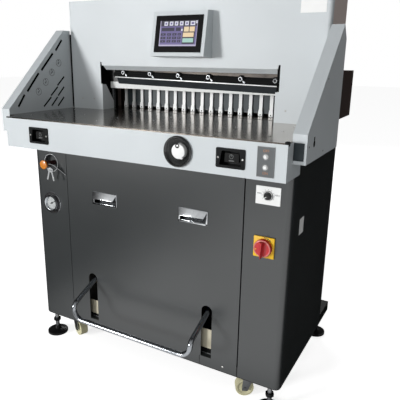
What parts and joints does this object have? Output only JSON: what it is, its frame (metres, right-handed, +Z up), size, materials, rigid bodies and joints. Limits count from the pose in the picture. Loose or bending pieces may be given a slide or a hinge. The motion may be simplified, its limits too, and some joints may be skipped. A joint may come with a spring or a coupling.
{
  "type": "electric paper cutter",
  "caption": "Floor-standing hydraulic paper guillotine: cabinet, table with side wings, gantry with slanting knife, clamp, back gauge, touch console and foot pedal.",
  "frame": {"origin": "floor level, under the middle of the machine's bounding box", "axes": "+Z up, +Y from the operator towards the rear table, +X to the operator's right"},
  "size_m": [1.0726, 1.206, 1.267],
  "materials": {
    "cabinet_paint": "dark grey fine-textured powder coat",
    "light_paint": "light grey fine-textured powder coat",
    "base_paint": "black satin paint",
    "guard_paint": "black-brown satin paint",
    "table_plate": "ground and polished",
    "bright_steel": "ground",
    "chrome": "polished",
    "black_plastic": "satin black",
    "nylon": "cream nylon",
    "clamp_paint": "light grey enamel",
    "stick_plastic": "red plastic",
    "plate_grey": "satin grey",
    "plate_white": "satin white",
    "plate_yellow": "satin yellow",
    "red_plastic": "gloss red",
    "screen_glass": "display behind glass",
    "hydraulic_paint": "cream enamel",
    "orange_plastic": "gloss orange"
  },
  "bodies": {
    "machine": {"base_frame": "base_paint", "levelling_feet": "black_plastic", "rear_caster_forks": "bright_steel", "left_column_panel": "cabinet_paint", "right_column_panel": "cabinet_paint", "front_panel": "cabinet_paint", "rear_panel": "cabinet_paint", "panel_pulls": "chrome", "side_frames": "base_paint", "guide_beam": "base_paint", "front_table": "table_plate", "rear_table": "table_plate", "cutting_stick": "stick_plastic", "air_jets": "bright_steel", "front_bar": "light_paint", "button_housings": "black_plastic", "switch_plate": "plate_grey", "left_wing": "light_paint", "right_wing": "light_paint", "front_cover": "light_paint", "gantry_hood": "light_paint", "console_body": "light_paint", "touch_screen": "screen_glass", "rear_guard": "guard_paint", "gauge_rails": "bright_steel", "gauge_motor": "base_paint", "hydraulic_unit": "hydraulic_paint", "hydraulic_cylinders": "bright_steel", "pedal_brackets": "base_paint", "knob_plate": "plate_white", "main_switch_plate": "plate_yellow", "pressure_gauge": "chrome", "air_blower": "base_paint", "control_box": "hydraulic_paint"},
    "front_left_swivel": {"caster_fork_front_left": "bright_steel"},
    "front_right_swivel": {"caster_fork_front_right": "bright_steel"},
    "front_left_wheel": {"caster_wheel_front_left": "nylon"},
    "front_right_wheel": {"caster_wheel_front_right": "nylon"},
    "rear_left_wheel": {"caster_wheel_rear_left": "nylon"},
    "rear_right_wheel": {"caster_wheel_rear_right": "nylon"},
    "knife_lead": {"knife_guide_roller": "bright_steel"},
    "knife_assembly": {"knife_carrier": "bright_steel", "knife": "bright_steel", "knife_bolts": "chrome"},
    "knife_puller": {"knife_pull_rod": "bright_steel"},
    "clamp": {"clamp_beam": "clamp_paint", "clamp_rods": "chrome"},
    "gauge": {"back_gauge": "light_paint"},
    "screw": {"lead_screw": "bright_steel"},
    "pedal": {"foot_pedal": "chrome"},
    "wheel_control": {"handwheel": "black_plastic"},
    "left_cut_button": {"left_push_button": "black_plastic"},
    "right_cut_button": {"right_push_button": "black_plastic"},
    "start_button": {"on_button": "chrome"},
    "stop_button": {"off_button": "chrome"},
    "pressure_control": {"pressure_knob": "black_plastic"},
    "main_switch": {"switch_handle": "red_plastic"},
    "valve": {"valve_knob": "orange_plastic"},
    "needle": {"gauge_needle": "black_plastic"},
    "lid": {"rear_lid": "guard_paint"}
  },
  "joints": [
    {"name": "front_left_swivel", "type": "hinge", "parent": "machine", "child": "front_left_swivel", "pos_m": [-0.36765, -0.409, 0.075], "axis": [0, 0, 1], "continuous": true},
    {"name": "front_right_swivel", "type": "hinge", "parent": "machine", "child": "front_right_swivel", "pos_m": [0.36835, -0.409, 0.075], "axis": [0, 0, 1], "continuous": true},
    {"name": "front_left_roll", "type": "hinge", "parent": "front_left_swivel", "child": "front_left_wheel", "pos_m": [-0.35096, -0.41574, 0.033], "axis": [-0.3746, -0.9272, 0], "continuous": true},
    {"name": "front_right_roll", "type": "hinge", "parent": "front_right_swivel", "child": "front_right_wheel", "pos_m": [0.35272, -0.41792, 0.033], "axis": [-0.4955, 0.8686, 0], "continuous": true},
    {"name": "rear_left_roll", "type": "hinge", "parent": "machine", "child": "rear_left_wheel", "pos_m": [-0.36765, -0.029, 0.033], "axis": [1, 0, 0], "continuous": true},
    {"name": "rear_right_roll", "type": "hinge", "parent": "machine", "child": "rear_right_wheel", "pos_m": [0.36835, -0.029, 0.033], "axis": [1, 0, 0], "continuous": true},
    {"name": "knife_slide", "type": "slide", "parent": "machine", "child": "knife_lead", "axis": [-0.4395, 0, -0.8983], "range_m": [0, 0.09557]},
    {"name": "knife_tilt", "type": "hinge", "parent": "knife_lead", "child": "knife_assembly", "pos_m": [0.25, -0.201, 1.19], "axis": [0, -1, 0], "range_deg": [0, 1.15]},
    {"name": "knife_pull", "type": "slide", "parent": "machine", "child": "knife_puller", "axis": [0, 0, -1], "range_m": [0, 0.0842]},
    {"name": "clamp_slide", "type": "slide", "parent": "machine", "child": "clamp", "axis": [0, 0, -1], "range_m": [0, 0.0785], "stiffness_N_per_m": 4000, "springref_m": -0.15},
    {"name": "pedal_hinge", "type": "hinge", "parent": "machine", "child": "pedal", "pos_m": [0, -0.419, 0.3], "axis": [1, 0, 0], "range_deg": [0, 20.1]},
    {"name": "gauge_slide", "type": "slide", "parent": "machine", "child": "gauge", "axis": [0, 1, 0], "range_m": [-0.024, 0.56]},
    {"name": "screw_turn", "type": "hinge", "parent": "machine", "child": "screw", "pos_m": [0, -0.067, 0.842], "axis": [0, 1, 0], "continuous": true},
    {"name": "handwheel_turn", "type": "hinge", "parent": "machine", "child": "wheel_control", "pos_m": [0.1984, -0.595, 0.8257], "axis": [0, 1, 0], "continuous": true},
    {"name": "left_cut_press", "type": "slide", "parent": "machine", "child": "left_cut_button", "axis": [0, 1, 0], "range_m": [0, 0.006], "stiffness_N_per_m": 1000, "springref_m": -0.002},
    {"name": "right_cut_press", "type": "slide", "parent": "machine", "child": "right_cut_button", "axis": [0, 1, 0], "range_m": [0, 0.006], "stiffness_N_per_m": 1000, "springref_m": -0.002},
    {"name": "on_press", "type": "slide", "parent": "machine", "child": "start_button", "axis": [0, 1, 0], "range_m": [0, 0.003], "stiffness_N_per_m": 1000, "springref_m": -0.002},
    {"name": "off_press", "type": "slide", "parent": "machine", "child": "stop_button", "axis": [0, 1, 0], "range_m": [0, 0.003], "stiffness_N_per_m": 1000, "springref_m": -0.002},
    {"name": "pressure_turn", "type": "hinge", "parent": "machine", "child": "pressure_control", "pos_m": [0.415, -0.477, 0.703], "axis": [0, 1, 0], "range_deg": [0, 270]},
    {"name": "main_switch_turn", "type": "hinge", "parent": "machine", "child": "main_switch", "pos_m": [0.4117, -0.487, 0.55], "axis": [0, 1, 0], "range_deg": [0, 90]},
    {"name": "valve_turn", "type": "hinge", "parent": "machine", "child": "valve", "pos_m": [-0.4051, -0.487, 0.7021], "axis": [0, 1, 0], "range_deg": [-360, 360]},
    {"name": "needle_turn", "type": "hinge", "parent": "machine", "child": "needle", "pos_m": [-0.4091, -0.474, 0.5533], "axis": [0, 1, 0], "range_deg": [-195, 75]},
    {"name": "lid_hinge", "type": "hinge", "parent": "machine", "child": "lid", "pos_m": [0, -0.047, 1.021], "axis": [1, 0, 0], "range_deg": [0, 75]}
  ],
  "couplings": [
    {"joint": "knife_tilt", "follows": "knife_slide", "rad_per_m": 0.20896},
    {"joint": "knife_pull", "follows": "knife_slide", "ratio": 0.8774},
    {"joint": "pedal_hinge", "follows": "clamp_slide", "rad_per_m": 4.4466},
    {"joint": "screw_turn", "follows": "gauge_slide", "rad_per_m": -314.16}
  ]
}
